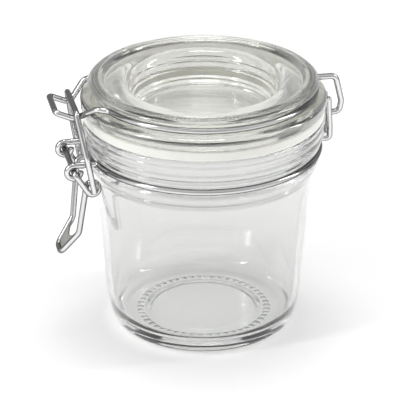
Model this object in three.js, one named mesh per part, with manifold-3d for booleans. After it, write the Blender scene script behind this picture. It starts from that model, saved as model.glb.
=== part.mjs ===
// A clear glass jar with a glass lid that a wire clip holds shut, in millimetres.
// The jar's axis is Z, the clip is at -X and the hinge at +X. It stands on z = 0.
import * as THREE from 'three';
import { mergeVertices } from 'three/addons/utils/BufferGeometryUtils.js';
import Module from 'manifold-3d';

const wasm = await Module();
wasm.setup();

// Turned pieces: [radius, height] from the axis, round the outside and back.
const JAR = [
  [0, 1.8], [22.0, 1.5], [24.6, 0.3], [25.4, 0], [35.4, 0], [37.3, 0.7], [38.8, 2.6], [40.0, 6],
  [41.1, 11], [41.8, 15], [44.6, 55], [45.6, 65], [46.1, 69.5], [46.8, 71.6], [48.3, 74.2],
  [48.8, 75.8], [48.3, 77.6], [47.0, 78.8], [47.0, 81.9], [49.0, 82.3], [49.2, 83.2], [48.7, 84.4],
  [50.2, 85.4], [50.5, 87.4], [50.2, 89.4], [50.5, 91.6], [50.2, 93.5], [49.3, 94.3], [43.4, 94.3],
  [42.5, 93.3], [42.5, 67], [41.4, 55], [38.6, 15], [37.8, 10.5], [36.3, 7.6], [33.8, 6.2], [0, 6],
];
const GASKET = [[43.4, 94.5], [50.0, 94.5], [50.5, 95.1], [50.5, 98.2], [50.0, 98.8], [43.4, 98.8]];
const LID = [
  [0, 92], [32, 92], [34.6, 92.6], [39.4, 97], [41.6, 98.9], [43.2, 99.05], [50.5, 99.05],
  [51.3, 99.9], [51.3, 102.9], [50.5, 104.0], [48.2, 104.5], [44.9, 104.6], [44.9, 108.6],
  [48.0, 109.1], [47.8, 109.9], [45.8, 111.1], [44.0, 111.3], [42.2, 111.0], [41, 109.5],
  [35, 109.5], [32.8, 109], [31.2, 107.4], [30.3, 105.7], [29, 101], [28, 97.4], [26.4, 96], [0, 96],
];
const TURN_SIDES = 48;

// Wire, and how finely a bend is cut.
const WIRE = 1.28;
const WIRE_SIDES = 8;
const BEND_STEP = 0.42;
const RING_STEP = Math.PI / 24;

// Wire round the lid: its ring, where it leaves the ring for the nose that the bail holds, and the
// arm to the hinge pin.
const LID_RING = { radius: 46.6, height: 106.25 };
const LEAVE_HALF = 18.5;
const NOSE_ROOT = [-47.4, 16.5, 106.9, 5];
const NOSE_HALF = 9.4;
const NOSE = [[-54.2, 101.1, 3], [-56.8, 100.8, 2.5], [-63.4, 103.7, 2]];
const HINGE_ARM = [
  [46.2, 106.2, 0], [56.6, 106.1, 2.6], [59.3, 94.7, 3.4], [58.5, 89.9, 2.4], [52.6, 89.7, 1.6],
  [52.15, 85, 1.2], [51, 82, 0],
];
const HINGE = [51, 82];
const PIN_HALF = 4.9;

// Wire round the neck: its ring, the arms to the lever's eyes, and the two hinge hooks.
const NECK_RING = { radius: 48.6, height: 80.3 };
const EYE_HALF = 12.2;
const EYE_RADIUS = 2.86;
const EYE_FROM = Math.PI / 2;
const EYE_TO = EYE_FROM + 1.46 * Math.PI;
const HOOK_HALF = 3.1;
const HOOK = [[47.9, 79.6, 0], [53.8, 79.2, 1.5], [53.7, 85, 8], [52.9, 97.3, 0]];

// Bail and lever: the bail hangs on the nose at BAR, and the lever turns in the eyes at PIVOT.
const BAR = [-55.3, 103.8];
const BAR_HALF = 12.4;
const PIVOT = [-57.0, 77.9];
const COIL = [-49.6, 70.6];
const COIL_RADIUS = 2.45;
const LINK_HALF = 15;
const LEG_HALF = 17.95;
const SPLAY = 0.55;
const HANDLE_TOP_HALF = 12.15;
const HANDLE_BEND = [-54.9, 47.9];
const HANDLE_BEND_HALF = 8;
const HANDLE_TIP = [-62.2, 37.8];
const HANDLE_TIP_HALF = 4.1;
const PLATE_THICK = 0.7;
const PLATE_TOP = 0.12;
const PLATE_DIP = 0.42;

const point = ([x, y, z]) => new THREE.Vector3(x, y, z);

function solidOf(geometry) {
  geometry.deleteAttribute('normal');
  geometry.deleteAttribute('uv');
  const merged = mergeVertices(geometry, 1e-4);
  const mesh = new wasm.Mesh({
    numProp: 3,
    vertProperties: new Float32Array(merged.attributes.position.array),
    triVerts: new Uint32Array(merged.index.array),
  });
  return new wasm.Manifold(mesh);
}

function geometryOf(solid) {
  const mesh = solid.getMesh();
  const geometry = new THREE.BufferGeometry();
  geometry.setAttribute('position', new THREE.BufferAttribute(mesh.vertProperties.slice(), 3));
  geometry.setIndex(new THREE.BufferAttribute(mesh.triVerts.slice(), 1));
  return geometry;
}

function joined(geometries) {
  return geometryOf(geometries.map(solidOf).reduce((all, next) => all.add(next)));
}

function turned(profile) {
  const ring = profile[0][0] > 0 ? [...profile, profile[0]] : profile;
  const geometry = new THREE.LatheGeometry(ring.map(([r, z]) => new THREE.Vector2(r, z)), TURN_SIDES);
  geometry.rotateX(Math.PI / 2);
  return mergeVertices(geometry, 1e-4);
}

// Points along a bent wire. Each corner is [x, y, z, bend radius]; with no radius it stays a point.
function bent(corners) {
  const points = [];
  corners.forEach((corner, i) => {
    const here = point(corner);
    const bend = corner[3];
    if (!bend || i === 0 || i === corners.length - 1) {
      points.push(here);
      return;
    }
    const from = point(corners[i - 1]).sub(here).normalize();
    const to = point(corners[i + 1]).sub(here).normalize();
    const half = from.angleTo(to) / 2;
    const run = bend / Math.tan(half);
    const centre = from.clone().add(to).normalize().multiplyScalar(bend / Math.sin(half)).add(here);
    const start = from.clone().multiplyScalar(run).add(here).sub(centre);
    const end = to.clone().multiplyScalar(run).add(here).sub(centre);
    const axis = start.clone().cross(end).normalize();
    const turn = Math.PI - 2 * half;
    const steps = Math.max(1, Math.ceil(turn / BEND_STEP));
    for (let k = 0; k <= steps; k += 1) {
      points.push(start.clone().applyAxisAngle(axis, (turn * k) / steps).add(centre));
    }
  });
  return points;
}

// A round wire along points, with flat ends. Its cross-section is carried along without twisting.
function wire(points) {
  const last = points.length - 1;
  const along = points.map((p, i) => (
    points[Math.min(i + 1, last)].clone().sub(points[Math.max(i - 1, 0)]).normalize()
  ));
  const first = Math.abs(along[0].z) < 0.9 ? new THREE.Vector3(0, 0, 1) : new THREE.Vector3(1, 0, 0);
  const side = first.cross(along[0]).normalize();
  const places = [];
  const faces = [];
  points.forEach((p, i) => {
    if (i > 0) {
      side.applyQuaternion(new THREE.Quaternion().setFromUnitVectors(along[i - 1], along[i]));
    }
    const up = along[i].clone().cross(side).normalize();
    for (let k = 0; k < WIRE_SIDES; k += 1) {
      const a = (2 * Math.PI * k) / WIRE_SIDES;
      const at = p.clone().addScaledVector(side, WIRE * Math.cos(a)).addScaledVector(up, WIRE * Math.sin(a));
      places.push(at.x, at.y, at.z);
    }
  });
  for (let i = 0; i < last; i += 1) {
    for (let k = 0; k < WIRE_SIDES; k += 1) {
      const a = i * WIRE_SIDES + k;
      const b = i * WIRE_SIDES + ((k + 1) % WIRE_SIDES);
      faces.push(a, b, b + WIRE_SIDES, a, b + WIRE_SIDES, a + WIRE_SIDES);
    }
  }
  const end = last * WIRE_SIDES;
  for (let k = 1; k < WIRE_SIDES - 1; k += 1) {
    faces.push(0, k + 1, k, end, end + k, end + k + 1);
  }
  const geometry = new THREE.BufferGeometry();
  geometry.setAttribute('position', new THREE.Float32BufferAttribute(places, 3));
  geometry.setIndex(faces);
  return geometry;
}

const mirrored = (corners) => corners.map(([x, y, z, bend]) => [x, -y, z, bend]).reverse();

// The part of a ring on one side of the jar, from angle a to angle b about the axis.
function ringPart({ radius, height }, a, b) {
  const steps = Math.ceil(Math.abs(b - a) / RING_STEP);
  return Array.from({ length: steps + 1 }, (_, k) => {
    const angle = a + ((b - a) * k) / steps;
    return [radius * Math.cos(angle), radius * Math.sin(angle), height, 0];
  });
}

function lidWire() {
  const toNose = Math.PI - Math.asin((LEAVE_HALF + 3) / LID_RING.radius);
  const half = [
    ...ringPart(LID_RING, 0.01, toNose),
    [-Math.sqrt(LID_RING.radius ** 2 - LEAVE_HALF ** 2), LEAVE_HALF, LID_RING.height, 4],
    NOSE_ROOT,
    ...NOSE.map(([x, z, bend]) => [x, NOSE_HALF, z, bend]),
  ];
  const [pinX, pinZ] = HINGE;
  return joined([
    wire(bent([...half, ...mirrored(half)])),
    wire(bent(HINGE_ARM.map(([x, z, bend]) => [x, 0, z, bend]))),
    wire([point([pinX, -PIN_HALF, pinZ]), point([pinX, PIN_HALF, pinZ])]),
  ]);
}

function neckWire() {
  const [eyeX, eyeZ] = PIVOT;
  const toArm = Math.PI - Math.asin((EYE_HALF + 3) / NECK_RING.radius);
  const eye = [];
  for (let k = 0; k <= 13; k += 1) {
    const a = EYE_FROM + ((EYE_TO - EYE_FROM) * k) / 13;
    eye.push([eyeX + EYE_RADIUS * Math.cos(a), EYE_HALF, eyeZ + EYE_RADIUS * Math.sin(a), 0]);
  }
  const half = [
    ...ringPart(NECK_RING, 0, toArm),
    [-Math.sqrt(NECK_RING.radius ** 2 - EYE_HALF ** 2), EYE_HALF, NECK_RING.height + 0.4, 1.8],
    ...eye,
  ];
  const hooks = [-HOOK_HALF, HOOK_HALF].map((y) => wire(bent(HOOK.map(([x, z, bend]) => [x, y, z, bend]))));
  return joined([wire(bent([...mirrored(half), ...half.slice(1)])), ...hooks]);
}

function bail() {
  const [x, z] = BAR;
  const [footX, footZ] = COIL;
  const half = [
    [x + (footX - x) * SPLAY, LEG_HALF, z + (footZ - z) * SPLAY, 12],
    [footX, LEG_HALF, footZ, 0],
  ];
  return wire(bent([...mirrored(half), [x, -BAR_HALF, z, 1.9], [x, BAR_HALF, z, 1.9], ...half]));
}

// One side of the lever: from the pivot bar along the link, round the coil and down the handle.
function leverHalf() {
  const [pivotX, pivotZ] = PIVOT;
  const [coilX, coilZ] = COIL;
  const toCoil = Math.atan2(coilZ - pivotZ, coilX - pivotX);
  const linkAngle = toCoil - Math.asin(COIL_RADIUS / Math.hypot(coilX - pivotX, coilZ - pivotZ));
  const toBend = Math.atan2(HANDLE_BEND[1] - coilZ, HANDLE_BEND[0] - coilX);
  const reach = Math.hypot(HANDLE_BEND[0] - coilX, HANDLE_BEND[1] - coilZ);
  const legAngle = toBend + Math.asin(COIL_RADIUS / reach) + 2 * Math.PI;
  const from = linkAngle - Math.PI / 2;
  const sweep = legAngle - Math.PI / 2 - from;
  const coil = [];
  for (let k = 0; k <= 14; k += 1) {
    const a = from + (sweep * k) / 14;
    const y = LINK_HALF + ((HANDLE_TOP_HALF - LINK_HALF) * k) / 14;
    coil.push([coilX + COIL_RADIUS * Math.cos(a), y, coilZ + COIL_RADIUS * Math.sin(a), 0]);
  }
  return [
    [pivotX, LINK_HALF, pivotZ, 1.5],
    ...coil,
    [HANDLE_BEND[0], HANDLE_BEND_HALF, HANDLE_BEND[1], 5],
    [HANDLE_TIP[0], HANDLE_TIP_HALF, HANDLE_TIP[1], 3.3],
  ];
}

function lever() {
  const half = leverHalf();
  const pivot = [PIVOT[0], 0, PIVOT[1], 0];
  const tip = [HANDLE_TIP[0], 0, HANDLE_TIP[1], 0];
  const near = wire(bent([pivot, ...half, tip]));
  const far = wire(bent([tip, ...mirrored(half), pivot]));
  return joined([near, far]);
}

// The thumb plate in the handle's lower end: its top edge is hollowed.
function plate() {
  const [bendX, bendZ] = HANDLE_BEND;
  const [tipX, tipZ] = HANDLE_TIP;
  const length = Math.hypot(tipX - bendX, tipZ - bendZ);
  const wireClear = WIRE + 0.25;
  const halfAt = (t) => HANDLE_BEND_HALF + (HANDLE_TIP_HALF - HANDLE_BEND_HALF) * t - wireClear;
  const top = PLATE_TOP * length;
  const end = length - wireClear;
  const shape = new THREE.Shape();
  shape.moveTo(-halfAt(PLATE_TOP), top);
  shape.quadraticCurveTo(0, PLATE_DIP * 2 * length - top, halfAt(PLATE_TOP), top);
  shape.lineTo(halfAt(0.72), 0.72 * length);
  shape.quadraticCurveTo(halfAt(1), end, 0, end);
  shape.quadraticCurveTo(-halfAt(1), end, -halfAt(0.72), 0.72 * length);
  const geometry = new THREE.ExtrudeGeometry(shape, {
    depth: PLATE_THICK, bevelEnabled: false, curveSegments: 6,
  });
  geometry.translate(0, 0, -PLATE_THICK / 2);
  const down = new THREE.Vector3(tipX - bendX, 0, tipZ - bendZ).normalize();
  const across = new THREE.Vector3(0, 1, 0);
  const frame = new THREE.Matrix4().makeBasis(across, down, across.clone().cross(down));
  frame.setPosition(bendX, 0, bendZ);
  geometry.applyMatrix4(frame);
  return geometry;
}

const glass = { color: 0xe6eae6, roughness: 0.05, metalness: 0 };
const steel = { color: 0xc9c9c6, roughness: 0.12, metalness: 1 };
const pieces = {
  jar_glass: [turned(JAR), glass],
  gasket: [turned(GASKET), { color: 0xe2e2d6, roughness: 0.5, metalness: 0 }],
  neck_wire: [neckWire(), steel],
  lid_glass: [turned(LID), glass],
  lid_wire: [lidWire(), steel],
  bail_wire: [bail(), steel],
  lever_wire: [lever(), steel],
  lever_plate: [plate(), { color: 0xa3a29b, roughness: 0.4, metalness: 1 }],
};

const part = new THREE.Group();
for (const [name, [geometry, look]] of Object.entries(pieces)) {
  const mesh = new THREE.Mesh(geometry, new THREE.MeshStandardMaterial(look));
  mesh.name = name;
  part.add(mesh);
}

// The part's origin is under the middle of its length, so everything moves along X by this much.
const box = new THREE.Box3().setFromObject(part);
part.children.forEach((mesh) => mesh.geometry.translate(-(box.min.x + box.max.x) / 2, 0, 0));

export default part;
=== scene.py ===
# A clear glass clip top jar, dressed on its CAD frame: smooth glass with a beaded lid rim and a
# knurled base, a cream sealing ring, polished wire and a matt thumb plate. Sizes are in millimetres
# about the jar's axis until a mesh is made.
import math

import bmesh
import bpy
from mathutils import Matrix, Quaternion, Vector


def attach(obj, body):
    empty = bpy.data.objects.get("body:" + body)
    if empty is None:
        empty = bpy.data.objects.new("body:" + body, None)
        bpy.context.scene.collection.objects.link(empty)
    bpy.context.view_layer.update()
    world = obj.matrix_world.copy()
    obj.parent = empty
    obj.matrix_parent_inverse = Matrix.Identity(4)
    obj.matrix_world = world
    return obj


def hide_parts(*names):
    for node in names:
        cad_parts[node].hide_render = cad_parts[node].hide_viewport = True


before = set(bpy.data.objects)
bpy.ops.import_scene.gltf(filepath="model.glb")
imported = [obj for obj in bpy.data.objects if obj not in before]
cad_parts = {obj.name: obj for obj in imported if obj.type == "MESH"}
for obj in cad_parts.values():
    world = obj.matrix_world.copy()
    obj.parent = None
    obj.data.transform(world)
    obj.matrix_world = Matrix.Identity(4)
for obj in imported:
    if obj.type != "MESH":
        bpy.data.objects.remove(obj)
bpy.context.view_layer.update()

# Where the jar's axis stands in the row frame, and one millimetre in metres.
AXIS_X = 2.09231
MM = 0.001

# Turned profiles: radius, height and how far a corner is rounded along each side.
JAR = [
    (0, 1.8, 0), (22.0, 1.5, 1.5), (24.6, 0.3, 0.8), (25.4, 0, 0.4), (35.4, 0, 1.2), (37.3, 0.7, 0.9),
    (38.8, 2.6, 1.2), (40.0, 6, 2), (41.1, 11, 2.2), (41.8, 15, 2.5), (44.6, 55, 5), (45.6, 65, 2.5),
    (46.1, 69.5, 1.2), (46.8, 71.6, 1.1), (48.3, 74.2, 0.9), (48.8, 75.8, 0.9), (48.3, 77.6, 0.9),
    (47.0, 78.8, 0.7), (47.0, 81.9, 0.5), (49.0, 82.3, 0.35), (49.2, 83.2, 0.4), (48.7, 84.4, 0.5),
    (49.9, 85.2, 0.7), (50.5, 86.8, 0.8), (49.8, 88.7, 0.8), (50.5, 90.6, 0.8), (49.8, 92.2, 0.7),
    (50.2, 93.4, 0.5), (49.3, 94.3, 0.6), (43.4, 94.3, 0.7), (42.5, 93.3, 0.7), (42.5, 67, 5),
    (41.4, 55, 5), (38.6, 15, 2.2), (37.8, 10.5, 1.8), (36.3, 7.6, 1.5), (33.8, 6.2, 1.5), (0, 6, 0),
]
GASKET = [
    (43.4, 94.5, 0.2), (50.0, 94.5, 0.3), (50.5, 95.1, 0.3), (50.5, 98.2, 0.3), (50.0, 98.8, 0.3),
    (43.4, 98.8, 0.2),
]
LID = [
    (0, 92, 0), (32, 92, 1.2), (34.6, 92.6, 1.2), (39.4, 97, 1.2), (41.6, 98.9, 0.7), (43.2, 99.05, 0.6),
    (50.5, 99.05, 0.5), (51.3, 99.9, 0.5), (51.3, 102.9, 0.7), (50.5, 104.0, 0.6), (48.2, 104.5, 0.5),
    (44.9, 104.6, 0.6), (44.9, 108.6, 0.6), (48.0, 109.1, 0.3), (47.8, 109.9, 0.4), (46.0, 111.3, 0.6),
    (44.0, 111.3, 0.8), (42.2, 111.0, 0.5), (41, 109.5, 0.8), (35, 109.5, 1.1), (32.8, 109, 1.0),
    (31.4, 107.5, 0.6), (30.8, 106.2, 0.4), (30.2, 105.7, 0.3), (29.9, 103, 0.6), (29.6, 102.4, 0.3),
    (29.1, 102, 0.3), (28.8, 99.7, 0.6), (28.5, 99.2, 0.3), (28.1, 98.8, 0.3), (27.7, 97, 0.6),
    (26.4, 96, 0.9), (0, 96, 0),
]
CORNER_STEPS = 5
CORNER_SHARE = 0.45
GASKET_SIDES = 240

# Beads on the lid's rim: rows of inner radius, outer radius and how far a row is staggered. The gaps
# between the beads sink towards the rim's core.
RIM_BEADS = 180
RIM_SIDES = RIM_BEADS * 6
RIM_ROWS = ((44.0, 45.3, 0.0), (45.3, 46.6, 0.5))
RIM_BAND = (RIM_ROWS[0][0], RIM_ROWS[-1][1])
RIM_FROM = 110
RIM_CORE = (43.8, 106)
RIM_DEPTH = 0.45
RELIEF_STEP = 0.22

# Knurls in the ring that the jar stands on, and how steeply they rise at its edges.
BASE_KNURLS = 50
JAR_SIDES = BASE_KNURLS * 8
KNURL_BAND = (26.0, 28.8)
KNURL_TOP = 0.6
KNURL_DEPTH = 0.55
KNURL_FLANK = 2

# Wire: the same routes as the CAD solids, with more sides and finer bends. An end is rounded by
# rings this far past it, with this share of the radius. A hoop's round part stops RING_STOP to the
# side of the place where the wire leaves it.
WIRE = 1.28
WIRE_SIDES = 18
BEND_STEP = 0.14
RING_STEP = math.pi / 90
EYE_STEPS = 36
COIL_STEPS = 40
END_ROUND = ((0.35, 0.96), (0.6, 0.8), (0.7, 0.5))
RING_STOP = 3
LID_RING = (46.6, 106.25)
LEAVE_HALF = 18.5
LEAVE_BEND = 4
NOSE_ROOT = (-47.4, 16.5, 106.9, 5)
NOSE_HALF = 9.4
NOSE = ((-54.2, 101.1, 3), (-56.8, 100.8, 2.5), (-63.4, 103.7, 2))
HINGE_ARM = (
    (46.2, 106.2, 0), (56.6, 106.1, 2.6), (59.3, 94.7, 3.4), (58.5, 89.9, 2.4), (52.6, 89.7, 1.6),
    (52.15, 85, 1.2), (51, 82, 0),
)
HINGE = (51, 82)
PIN_HALF = 4.9
NECK_RING = (48.6, 80.3)
EYE_HALF = 12.2
EYE_RADIUS = 2.86
EYE_FROM = math.pi / 2
EYE_TO = EYE_FROM + 1.46 * math.pi
EYE_RISE = 0.4
EYE_BEND = 1.8
HOOK_HALF = 3.1
HOOK = ((47.9, 79.6, 0), (53.8, 79.2, 1.5), (53.7, 85, 8), (52.9, 97.3, 0))
BAR = (-55.3, 103.8)
BAR_HALF = 12.4
BAR_BEND = 1.9
PIVOT = (-57.0, 77.9)
COIL = (-49.6, 70.6)
COIL_RADIUS = 2.45
LINK_HALF = 15
LINK_BEND = 1.5
LEG_HALF = 17.95
SPLAY = 0.55
SPLAY_BEND = 12
HANDLE_TOP_HALF = 12.15
HANDLE_BEND = (-54.9, 47.9)
HANDLE_BEND_HALF = 8
HANDLE_BEND_RADIUS = 5
HANDLE_TIP = (-62.2, 37.8)
HANDLE_TIP_HALF = 4.1
HANDLE_TIP_RADIUS = 3.3

# Glass: its tint and the painted shade that darkens its colour in the gaps between beads or knurls,
# and how closely its waves follow one another upwards, against across.
GLASS_ROUGHNESS = 0.012
JAR_TINT_AND_GAP_SHADE = ((0.835, 0.84, 0.832), (0.45, 0.45, 0.44))
LID_TINT_AND_GAP_SHADE = ((0.98, 0.98, 0.93), (0.55, 0.55, 0.5))
JAR_WAVES = 0.2
LID_WAVES = 1.0

# Over the radius, in shares of REACH metres: how strong the rings that pressing leaves are, and how
# rough the lid is. Its flat ring and the floor of its well are frosted. RING_SCALE is in the same
# shares.
REACH = 0.05
RING_SCALE = 40.0
JAR_RINGS = ((0.0, 0.0), (0.915, 0.0), (0.94, 0.6))
LID_RINGS = ((0.0, 0.0), (0.53, 0.0), (0.55, 0.3), (0.64, 0.3), (0.67, 0.0))
LID_FROST = (
    (0.0, 0.16), (0.5, 0.16), (0.55, GLASS_ROUGHNESS), (0.69, GLASS_ROUGHNESS), (0.74, 0.12),
    (0.82, 0.12), (0.86, 0.02),
)

# The wire's painted shade, how light it is from where it faces the viewer to its edges, the colours of
# the rest, and where the two ends of a tint or a roughness stand along the noise that drives it.
WIRE_PAINTED_EDGE_SHADE = ((0.0, 0.85), (0.2, 0.78), (0.45, 0.22), (0.7, 0.03))
WIRE_ROUGHNESS = (0.06, 0.12)
SILICONE_TINTS = ((0.88, 0.885, 0.83), (0.93, 0.93, 0.88))
PLATE_TINTS = ((0.40, 0.395, 0.36), (0.48, 0.475, 0.44))
FLOOR_TINTS = ((0.93, 0.93, 0.93), (0.95, 0.95, 0.95))
RAMP_ENDS = (0.3, 0.7)

# The camera looks at the jar's axis at this height, and the axis stands this far right of the middle.
CAMERA_AZIMUTH = -12.0
CAMERA_ELEVATION = 25.41
CAMERA_DISTANCE = 1.00245
CAMERA_TARGET_Z = 0.05397
CAMERA_LENS = 212.7
CAMERA_SENSOR = 36
AXIS_OFFSET_PX = 3.5
FRAME_PX = 400

# Studio, in metres: how light the surroundings are from the camera's side to behind the jar, how much
# the floor glows outwards from the jar, strongest in a painted pool of light under it, and each lamp's
# place, size and power.
WORLD_GREYS = ((0.0, 0.25), (0.1, 0.5), (0.54, 0.75), (0.58, 0.12), (0.67, 0.12), (0.71, 0.75))
FLOOR_GLOW_AND_PAINTED_POOL = ((0.0, 0.7), (0.03, 0.66), (0.042, 0.27), (0.42, 0.27), (0.75, 0.0))
FLOOR_SIZE = 8
FLOOR_DROP = 0.0002
LAMP_AIM = (0, 0, 0.055)
LAMPS = {
    "left_softbox": ((-0.75, -0.25, 0.55), (0.1, 0.6), 1.9),
    "right_softbox": ((0.8, -0.1, 0.5), (0.08, 0.6), 1.4),
    "top_softbox": ((0.0, 0.1, 0.95), (0.3, 0.3), 1.5),
}


def finished(name, mesh, body, node, material):
    """Adds a mesh as a piece that rides on a body and stands for a CAD node."""
    piece = bpy.data.objects.new(name, mesh)
    bpy.context.collection.objects.link(piece)
    mesh.materials.append(material)
    mesh.polygons.foreach_set("use_smooth", [True] * len(mesh.polygons))
    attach(piece, body)
    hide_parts(node)


def made_mesh(name, places, faces):
    """A mesh from millimetre points about the jar's axis, with its faces turned outwards."""
    mesh = bpy.data.meshes.new(name)
    mesh.from_pydata([((x + AXIS_X) * MM, y * MM, z * MM) for x, y, z in places], [], faces)
    turned_out = bmesh.new()
    turned_out.from_mesh(mesh)
    bmesh.ops.recalc_face_normals(turned_out, faces=turned_out.faces)
    turned_out.to_mesh(mesh)
    turned_out.free()
    return mesh


def rounded_profile(corners, closed):
    """The profile as (radius, height) points, each corner replaced by a short curve."""
    points = []
    count = len(corners)
    for i, (r, z, cut) in enumerate(corners):
        if not closed and i in (0, count - 1):
            points.append((r, z))
            continue
        here = Vector((r, z))
        before = Vector(corners[i - 1][:2]) - here
        after = Vector(corners[(i + 1) % count][:2]) - here
        start = here + before.normalized() * min(cut, before.length * CORNER_SHARE)
        end = here + after.normalized() * min(cut, after.length * CORNER_SHARE)
        for k in range(CORNER_STEPS + 1):
            t = k / CORNER_STEPS
            at = start * (1 - t) ** 2 + here * (2 * t * (1 - t)) + end * t ** 2
            points.append((at.x, at.y))
    return points


def divided(points, inner, outer):
    """The profile with more points where its radius lies between inner and outer."""
    finer = [points[0]]
    for (r0, z0), (r1, z1) in zip(points, points[1:]):
        inside = max(r0, r1) > inner and min(r0, r1) < outer
        steps = math.ceil(math.dist((r0, z0), (r1, z1)) / RELIEF_STEP) if inside else 1
        for k in range(1, steps + 1):
            finer.append((r0 + (r1 - r0) * k / steps, z0 + (z1 - z0) * k / steps))
    return finer


def turned_points(profile, sides, relief):
    """The points of a turned shape, how hollow each is, and its rows of point numbers."""
    places, hollows, rows = [], [], []
    for r, z in profile:
        first = len(places)
        if r == 0:
            rows.append([first] * sides)
            places.append((0, 0, z))
            hollows.append(0)
            continue
        for k in range(sides):
            angle = 2 * math.pi * k / sides
            out, up, hollow = relief(r, z, angle) if relief else (r, z, 0)
            places.append((out * math.cos(angle), out * math.sin(angle), up))
            hollows.append(hollow)
        rows.append(list(range(first, first + sides)))
    return places, hollows, rows


def turned(name, corners, sides, relief=None, band=None, closed=False):
    """A turned mesh. relief(radius, height, angle) moves the points in a band of radii, and says
    how hollow they are, which the material reads to paint shade into the gaps."""
    profile = rounded_profile(corners, closed)
    if band:
        profile = divided(profile, *band)
    places, hollows, rows = turned_points(profile, sides, relief)
    pairs = list(zip(rows, rows[1:]))
    if closed:
        pairs.append((rows[-1], rows[0]))
    faces = []
    for low, high in pairs:
        for k in range(sides):
            n = (k + 1) % sides
            face = [low[k], low[n], high[n], high[k]]
            faces.append(list(dict.fromkeys(face)))
    mesh = made_mesh(name, places, faces)
    # How hollow each point is; the glass material paints shade into the gaps from it.
    mesh.attributes.new("hollow", "FLOAT", "POINT").data.foreach_set("value", hollows)
    return mesh


def rim_relief(r, z, angle):
    """Beads along the lid's rim, in staggered rows."""
    for inner, outer, phase in RIM_ROWS:
        if z > RIM_FROM and inner <= r < outer:
            across = 2 * (r - inner) / (outer - inner) - 1
            along = 2 * ((angle * RIM_BEADS / (2 * math.pi) + phase) % 1) - 1
            hollow = min(1, across ** 2 + along ** 2)
            sunk = RIM_DEPTH * hollow / math.dist((r, z), RIM_CORE)
            return r - (r - RIM_CORE[0]) * sunk, z - (z - RIM_CORE[1]) * sunk, hollow
    return r, z, 0


def base_relief(r, z, angle):
    """Knurls under the base: the gaps between them are hollow."""
    inner, outer = KNURL_BAND
    if z > KNURL_TOP or not inner <= r <= outer:
        return r, z, 0
    across = min(1, KNURL_FLANK * math.sin(math.pi * (r - inner) / (outer - inner)))
    hollow = across * (0.5 - 0.5 * math.cos(angle * BASE_KNURLS))
    return r, z + KNURL_DEPTH * hollow, hollow


def bent(corners):
    """Points along a bent wire. Each corner is (x, y, z, bend radius)."""
    points = []
    for i, (x, y, z, bend) in enumerate(corners):
        here = Vector((x, y, z))
        if not bend or i in (0, len(corners) - 1):
            points.append(here)
            continue
        before = (Vector(corners[i - 1][:3]) - here).normalized()
        after = (Vector(corners[i + 1][:3]) - here).normalized()
        half = before.angle(after) / 2
        centre = here + (before + after).normalized() * (bend / math.sin(half))
        start = here + before * (bend / math.tan(half)) - centre
        end = here + after * (bend / math.tan(half)) - centre
        axis = start.cross(end).normalized()
        turn = math.pi - 2 * half
        steps = max(2, math.ceil(turn / BEND_STEP))
        for k in range(steps + 1):
            points.append(centre + Quaternion(axis, turn * k / steps) @ start)
    return points


def wire_rings(points):
    """Place, direction and radius of each ring of a wire along points, with slightly rounded ends."""
    last = len(points) - 1
    along = [(points[min(i + 1, last)] - points[max(i - 1, 0)]).normalized() for i in range(last + 1)]
    body = [(p, along[i], WIRE) for i, p in enumerate(points)]
    head = [(points[0] - along[0] * d, along[0], WIRE * s) for d, s in reversed(END_ROUND)]
    tail = [(points[-1] + along[-1] * d, along[-1], WIRE * s) for d, s in END_ROUND]
    return head + body + tail


def add_wire(points, places, faces):
    """Adds a round wire along points to a mesh in the making."""
    rings = wire_rings(points)
    side = rings[0][1].orthogonal().normalized()
    base = len(places)
    for i, (p, direction, radius) in enumerate(rings):
        if i:
            side = rings[i - 1][1].rotation_difference(direction) @ side
        up = direction.cross(side).normalized()
        for k in range(WIRE_SIDES):
            a = 2 * math.pi * k / WIRE_SIDES
            places.append(tuple(p + (side * math.cos(a) + up * math.sin(a)) * radius))
    for i in range(len(rings) - 1):
        for k in range(WIRE_SIDES):
            a = base + i * WIRE_SIDES + k
            b = base + i * WIRE_SIDES + (k + 1) % WIRE_SIDES
            faces.append([a, b, b + WIRE_SIDES, a + WIRE_SIDES])
    end = base + (len(rings) - 1) * WIRE_SIDES
    faces.append(list(range(base, base + WIRE_SIDES)))
    faces.append(list(range(end, end + WIRE_SIDES)))


def wire_mesh(name, routes):
    places, faces = [], []
    for route in routes:
        add_wire(route, places, faces)
    return made_mesh(name, places, faces)


def mirrored(corners):
    return [(x, -y, z, bend) for x, y, z, bend in reversed(corners)]


def half_ring(ring, leave_half):
    """A hoop's corners from the hinge's side to shortly before it leaves the round."""
    radius, height = ring
    stop = math.pi - math.asin((leave_half + RING_STOP) / radius)
    steps = math.ceil(stop / RING_STEP)
    angles = [stop * k / steps for k in range(steps + 1)]
    return [(radius * math.cos(t), radius * math.sin(t), height, 0) for t in angles]


def lid_wire_routes():
    """The hoop with its nose, the hinge arm and the pin."""
    leave = -math.sqrt(LID_RING[0] ** 2 - LEAVE_HALF ** 2)
    half = half_ring(LID_RING, LEAVE_HALF)
    half += [(leave, LEAVE_HALF, LID_RING[1], LEAVE_BEND), NOSE_ROOT]
    half += [(x, NOSE_HALF, z, bend) for x, z, bend in NOSE]
    arm = [(x, 0, z, bend) for x, z, bend in HINGE_ARM]
    pin = [Vector((HINGE[0], y, HINGE[1])) for y in (-PIN_HALF, PIN_HALF)]
    return [bent(half + mirrored(half)), bent(arm), pin]


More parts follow.
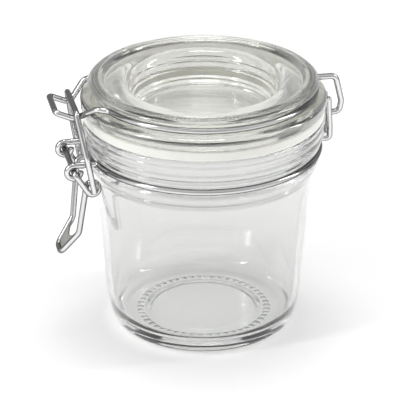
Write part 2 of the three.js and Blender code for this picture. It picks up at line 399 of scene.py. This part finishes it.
def neck_wire_routes():
    """The hoop with its two eyes, and the two hooks."""
    half = half_ring(NECK_RING, EYE_HALF)
    root = -math.sqrt(NECK_RING[0] ** 2 - EYE_HALF ** 2)
    half.append((root, EYE_HALF, NECK_RING[1] + EYE_RISE, EYE_BEND))
    for k in range(EYE_STEPS + 1):
        a = EYE_FROM + (EYE_TO - EYE_FROM) * k / EYE_STEPS
        x = PIVOT[0] + EYE_RADIUS * math.cos(a)
        half.append((x, EYE_HALF, PIVOT[1] + EYE_RADIUS * math.sin(a), 0))
    hooks = [bent([(x, y, z, bend) for x, z, bend in HOOK]) for y in (-HOOK_HALF, HOOK_HALF)]
    return [bent(mirrored(half) + half[1:])] + hooks


def bail_routes():
    """The bar over the nose and its splayed legs."""
    x, z = BAR
    splay = (x + (COIL[0] - x) * SPLAY, LEG_HALF, z + (COIL[1] - z) * SPLAY, SPLAY_BEND)
    half = [(x, BAR_HALF, z, BAR_BEND), splay, (COIL[0], LEG_HALF, COIL[1], 0)]
    return [bent(mirrored(half) + half)]


def lever_routes():
    """The pivot bar, the links, a turn round each coil and the handle, as one loop."""
    to_coil = math.atan2(COIL[1] - PIVOT[1], COIL[0] - PIVOT[0])
    link = to_coil - math.asin(COIL_RADIUS / math.dist(COIL, PIVOT))
    to_bend = math.atan2(HANDLE_BEND[1] - COIL[1], HANDLE_BEND[0] - COIL[0])
    leg = to_bend + math.asin(COIL_RADIUS / math.dist(HANDLE_BEND, COIL)) + 2 * math.pi
    start = link - math.pi / 2
    sweep = leg - math.pi / 2 - start
    half = [(PIVOT[0], LINK_HALF, PIVOT[1], LINK_BEND)]
    for k in range(COIL_STEPS + 1):
        a = start + sweep * k / COIL_STEPS
        y = LINK_HALF + (HANDLE_TOP_HALF - LINK_HALF) * k / COIL_STEPS
        half.append((COIL[0] + COIL_RADIUS * math.cos(a), y, COIL[1] + COIL_RADIUS * math.sin(a), 0))
    half.append((HANDLE_BEND[0], HANDLE_BEND_HALF, HANDLE_BEND[1], HANDLE_BEND_RADIUS))
    half.append((HANDLE_TIP[0], HANDLE_TIP_HALF, HANDLE_TIP[1], HANDLE_TIP_RADIUS))
    middle = (PIVOT[0], 0, PIVOT[1], 0)
    return [bent([middle] + half + mirrored(half) + [middle])]


def new_material(name):
    material = bpy.data.materials.new(name)
    material.use_nodes = True
    nodes, links = material.node_tree.nodes, material.node_tree.links
    return material, nodes, links, nodes["Principled BSDF"]


def add_noise(nodes, links, scale, detail=3.0, stretch=1):
    """A noise texture in the object's own space."""
    coordinates = nodes.new("ShaderNodeTexCoord")
    mapping = nodes.new("ShaderNodeMapping")
    mapping.inputs["Scale"].default_value = (1, 1, stretch)
    noise = nodes.new("ShaderNodeTexNoise")
    noise.inputs["Scale"].default_value = scale
    noise.inputs["Detail"].default_value = detail
    links.new(coordinates.outputs["Object"], mapping.inputs["Vector"])
    links.new(mapping.outputs["Vector"], noise.inputs["Vector"])
    return noise.outputs["Fac"]


def add_bump(nodes, links, shader, height, distance, strength=1.0):
    bump = nodes.new("ShaderNodeBump")
    bump.inputs["Strength"].default_value = strength
    bump.inputs["Distance"].default_value = distance
    links.new(height, bump.inputs["Height"])
    links.new(bump.outputs["Normal"], shader.inputs["Normal"])
    return bump


def add_ramp(nodes, links, factor, socket, low, high):
    """Drives a socket from one colour to another."""
    ramp = nodes.new("ShaderNodeValToRGB")
    for stop, place, colour in zip(ramp.color_ramp.elements, RAMP_ENDS, (low, high)):
        stop.position = place
        stop.color = (*colour, 1)
    links.new(factor, ramp.inputs["Fac"])
    links.new(ramp.outputs["Color"], socket)


def add_greys(nodes, links, factor, socket, greys):
    """Drives a socket by a ramp of greys, each at its place from 0 to 1."""
    ramp = nodes.new("ShaderNodeValToRGB")
    stops = ramp.color_ramp.elements
    while len(stops) < len(greys):
        stops.new(1.0)
    for stop, (place, grey) in zip(stops, greys):
        stop.position = place
        stop.color = (grey, grey, grey, 1)
    links.new(factor, ramp.inputs["Fac"])
    links.new(ramp.outputs["Color"], socket)


def add_radius(nodes, links):
    """The distance from the jar's axis and the height, both in shares of REACH."""
    coordinates = nodes.new("ShaderNodeTexCoord")
    place = nodes.new("ShaderNodeMapping")
    place.inputs["Location"].default_value = (-AXIS_X * MM / REACH, 0, 0)
    place.inputs["Scale"].default_value = (1 / REACH,) * 3
    parts = nodes.new("ShaderNodeSeparateXYZ")
    flat = nodes.new("ShaderNodeCombineXYZ")
    radius = nodes.new("ShaderNodeVectorMath")
    radius.operation = "LENGTH"
    links.new(coordinates.outputs["Object"], place.inputs["Vector"])
    links.new(place.outputs["Vector"], parts.inputs["Vector"])
    links.new(parts.outputs["X"], flat.inputs["X"])
    links.new(parts.outputs["Y"], flat.inputs["Y"])
    links.new(flat.outputs["Vector"], radius.inputs[0])
    return radius.outputs["Value"], parts.outputs["Z"]


def add_rings(nodes, links, shader, radius, height, strengths):
    """The rings that pressing leaves, as relief. Their strength changes over the radius."""
    section = nodes.new("ShaderNodeCombineXYZ")
    links.new(radius, section.inputs["X"])
    links.new(height, section.inputs["Z"])
    rings = nodes.new("ShaderNodeTexNoise")
    rings.inputs["Scale"].default_value = RING_SCALE
    links.new(section.outputs["Vector"], rings.inputs["Vector"])
    ringed = add_bump(nodes, links, shader, rings.outputs["Fac"], distance=0.0004)
    add_greys(nodes, links, radius, ringed.inputs["Strength"], strengths)
    return ringed


def glass_material(name, tint_and_gap_shade, waves, rings, frost=None):
    """Clear glass, faintly wavy and ringed, with painted shade darkening its colour in the gaps between
    beads or knurls. Where frost is given, it is the roughness over the radius.
    """
    material, nodes, links, shader = new_material(name)
    shader.inputs["IOR"].default_value = 1.5
    shader.inputs["Transmission Weight"].default_value = 1.0
    shader.inputs["Coat Weight"].default_value = 1.0
    shader.inputs["Coat Roughness"].default_value = 0.01
    shader.inputs["Roughness"].default_value = GLASS_ROUGHNESS
    # Painted shade: the base colour darkens where the surface is hollow, between beads or knurls.
    hollow = nodes.new("ShaderNodeAttribute")
    hollow.attribute_name = "hollow"
    add_ramp(nodes, links, hollow.outputs["Fac"], shader.inputs["Base Color"], *tint_and_gap_shade)
    radius, height = add_radius(nodes, links)
    if frost:
        add_greys(nodes, links, radius, shader.inputs["Roughness"], frost)
    noise = add_noise(nodes, links, scale=70.0, detail=1.5, stretch=waves)
    wavy = add_bump(nodes, links, shader, noise, distance=0.0006, strength=0.2)
    ringed = add_rings(nodes, links, shader, radius, height, rings)
    links.new(wavy.outputs["Normal"], ringed.inputs["Normal"])
    return material


def silicone_material():
    """Cream translucent silicone with a faint mottle. A faint painted glow stands in for light passing
    through.
    """
    material, nodes, links, shader = new_material("cream_silicone")
    shader.inputs["Roughness"].default_value = 0.42
    shader.inputs["Subsurface Weight"].default_value = 0.25
    shader.inputs["Subsurface Radius"].default_value = (0.004, 0.004, 0.0035)
    # Painted light: a faint glow standing in for light passing through the silicone.
    shader.inputs["Emission Color"].default_value = (1, 0.99, 0.9, 1)
    shader.inputs["Emission Strength"].default_value = 0.07
    mottle = add_noise(nodes, links, scale=160.0)
    add_ramp(nodes, links, mottle, shader.inputs["Base Color"], *SILICONE_TINTS)
    grain = add_noise(nodes, links, scale=1800.0)
    add_bump(nodes, links, shader, grain, distance=0.0001, strength=0.15)
    return material


def wire_material():
    """Polished stainless wire with fine drawing marks; painted shade darkens its colour towards its
    edges.
    """
    material, nodes, links, shader = new_material("polished_wire")
    shader.inputs["Metallic"].default_value = 1.0
    # Painted shade: the base colour darkens from where the wire faces the viewer to its edges.
    facing = nodes.new("ShaderNodeLayerWeight")
    add_greys(nodes, links, facing.outputs["Facing"], shader.inputs["Base Color"], WIRE_PAINTED_EDGE_SHADE)
    noise = add_noise(nodes, links, scale=700.0)
    low, high = WIRE_ROUGHNESS
    add_ramp(nodes, links, noise, shader.inputs["Roughness"], (low,) * 3, (high,) * 3)
    grain = add_noise(nodes, links, scale=2500.0)
    add_bump(nodes, links, shader, grain, distance=0.00005, strength=0.05)
    return material


def plate_material():
    """Matt pressed steel with a fine grain."""
    material, nodes, links, shader = new_material("matt_steel")
    shader.inputs["Metallic"].default_value = 0.75
    shader.inputs["Roughness"].default_value = 0.5
    grain = add_noise(nodes, links, scale=900.0, detail=5.0)
    add_ramp(nodes, links, grain, shader.inputs["Base Color"], *PLATE_TINTS)
    add_bump(nodes, links, shader, grain, distance=0.0001, strength=0.1)
    return material


def floor_material():
    """A white table that glows, with a painted pool of light under the jar standing in for light focused
    by the glass; the glow fades far out.
    """
    material, nodes, links, shader = new_material("pale_floor")
    shader.inputs["Roughness"].default_value = 0.9
    shader.inputs["Specular IOR Level"].default_value = 0.0
    shader.inputs["Emission Color"].default_value = (1, 1, 1, 1)
    coordinates = nodes.new("ShaderNodeTexCoord")
    distance = nodes.new("ShaderNodeVectorMath")
    distance.operation = "LENGTH"
    links.new(coordinates.outputs["Object"], distance.inputs[0])
    # Painted light: the emission is strongest in a pool under the jar, even further out, and fades far
    # away.
    add_greys(nodes, links, distance.outputs["Value"], shader.inputs["Emission Strength"], FLOOR_GLOW_AND_PAINTED_POOL)
    noise = add_noise(nodes, links, scale=3.0)
    add_ramp(nodes, links, noise, shader.inputs["Base Color"], *FLOOR_TINTS)
    return material


def add_jar():
    glass = glass_material("clear_glass", JAR_TINT_AND_GAP_SHADE, JAR_WAVES, JAR_RINGS)
    mesh = turned("jar_mesh", JAR, JAR_SIDES, base_relief, KNURL_BAND)
    finished("jar_body", mesh, "jar", "jar_glass", glass)


def add_sealing_ring():
    mesh = turned("ring_mesh", GASKET, GASKET_SIDES, closed=True)
    finished("sealing_ring", mesh, "jar", "gasket", silicone_material())


def add_lid():
    glass = glass_material("pressed_glass", LID_TINT_AND_GAP_SHADE, LID_WAVES, LID_RINGS, LID_FROST)
    mesh = turned("lid_mesh", LID, RIM_SIDES, rim_relief, RIM_BAND)
    finished("lid_top", mesh, "lid", "lid_glass", glass)


def add_wires():
    steel = wire_material()
    for piece, routes, body, node in (
        ("lid_hoop", lid_wire_routes(), "lid", "lid_wire"),
        ("neck_hoop", neck_wire_routes(), "jar", "neck_wire"),
        ("bail", bail_routes(), "bail", "bail_wire"),
        ("lever", lever_routes(), "lever", "lever_wire"),
    ):
        finished(piece, wire_mesh(piece + "_mesh", routes), body, node, steel)


def dress_thumb_plate():
    """The thumb plate keeps its CAD mesh."""
    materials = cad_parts["lever_plate"].data.materials
    materials.clear()
    materials.append(plate_material())


def add_floor():
    bpy.ops.mesh.primitive_plane_add(size=FLOOR_SIZE, location=(0, 0, -FLOOR_DROP))
    floor = bpy.context.object
    floor.name = "floor"
    floor.data.materials.append(floor_material())


def add_world():
    """A white tent, darker on the camera's side and in a band just behind the jar's sides."""
    world = bpy.data.worlds.new("studio")
    bpy.context.scene.world = world
    world.use_nodes = True
    nodes, links = world.node_tree.nodes, world.node_tree.links
    coordinates = nodes.new("ShaderNodeTexCoord")
    parts = nodes.new("ShaderNodeSeparateXYZ")
    shift = nodes.new("ShaderNodeMapRange")
    shift.inputs["From Min"].default_value = -1
    links.new(coordinates.outputs["Generated"], parts.inputs["Vector"])
    links.new(parts.outputs["Y"], shift.inputs["Value"])
    add_greys(nodes, links, shift.outputs["Result"], nodes["Background"].inputs["Color"], WORLD_GREYS)


def add_lamp(name, place, size, power):
    data = bpy.data.lights.new(name, "AREA")
    data.shape = "RECTANGLE"
    data.size, data.size_y = size
    data.energy = power
    lamp = bpy.data.objects.new(name, data)
    lamp.location = place
    lamp.rotation_euler = (Vector(LAMP_AIM) - Vector(place)).to_track_quat("-Z", "Y").to_euler()
    bpy.context.collection.objects.link(lamp)


def add_camera():
    data = bpy.data.cameras.new("camera")
    data.lens = CAMERA_LENS
    data.sensor_width = CAMERA_SENSOR
    data.shift_x = -AXIS_OFFSET_PX / FRAME_PX
    a, e = math.radians(CAMERA_AZIMUTH), math.radians(CAMERA_ELEVATION)
    back = Vector((math.sin(a) * math.cos(e), -math.cos(a) * math.cos(e), math.sin(e)))
    camera = bpy.data.objects.new("camera", data)
    camera.location = Vector((AXIS_X * MM, 0, CAMERA_TARGET_Z)) + back * CAMERA_DISTANCE
    camera.rotation_euler = (-back).to_track_quat("-Z", "Y").to_euler()
    bpy.context.collection.objects.link(camera)
    bpy.context.scene.camera = camera


add_jar()
add_sealing_ring()
add_lid()
add_wires()
dress_thumb_plate()
add_floor()
add_world()
for lamp_name, settings in LAMPS.items():
    add_lamp(lamp_name, *settings)
add_camera()
bpy.context.scene.view_settings.view_transform = "Standard"
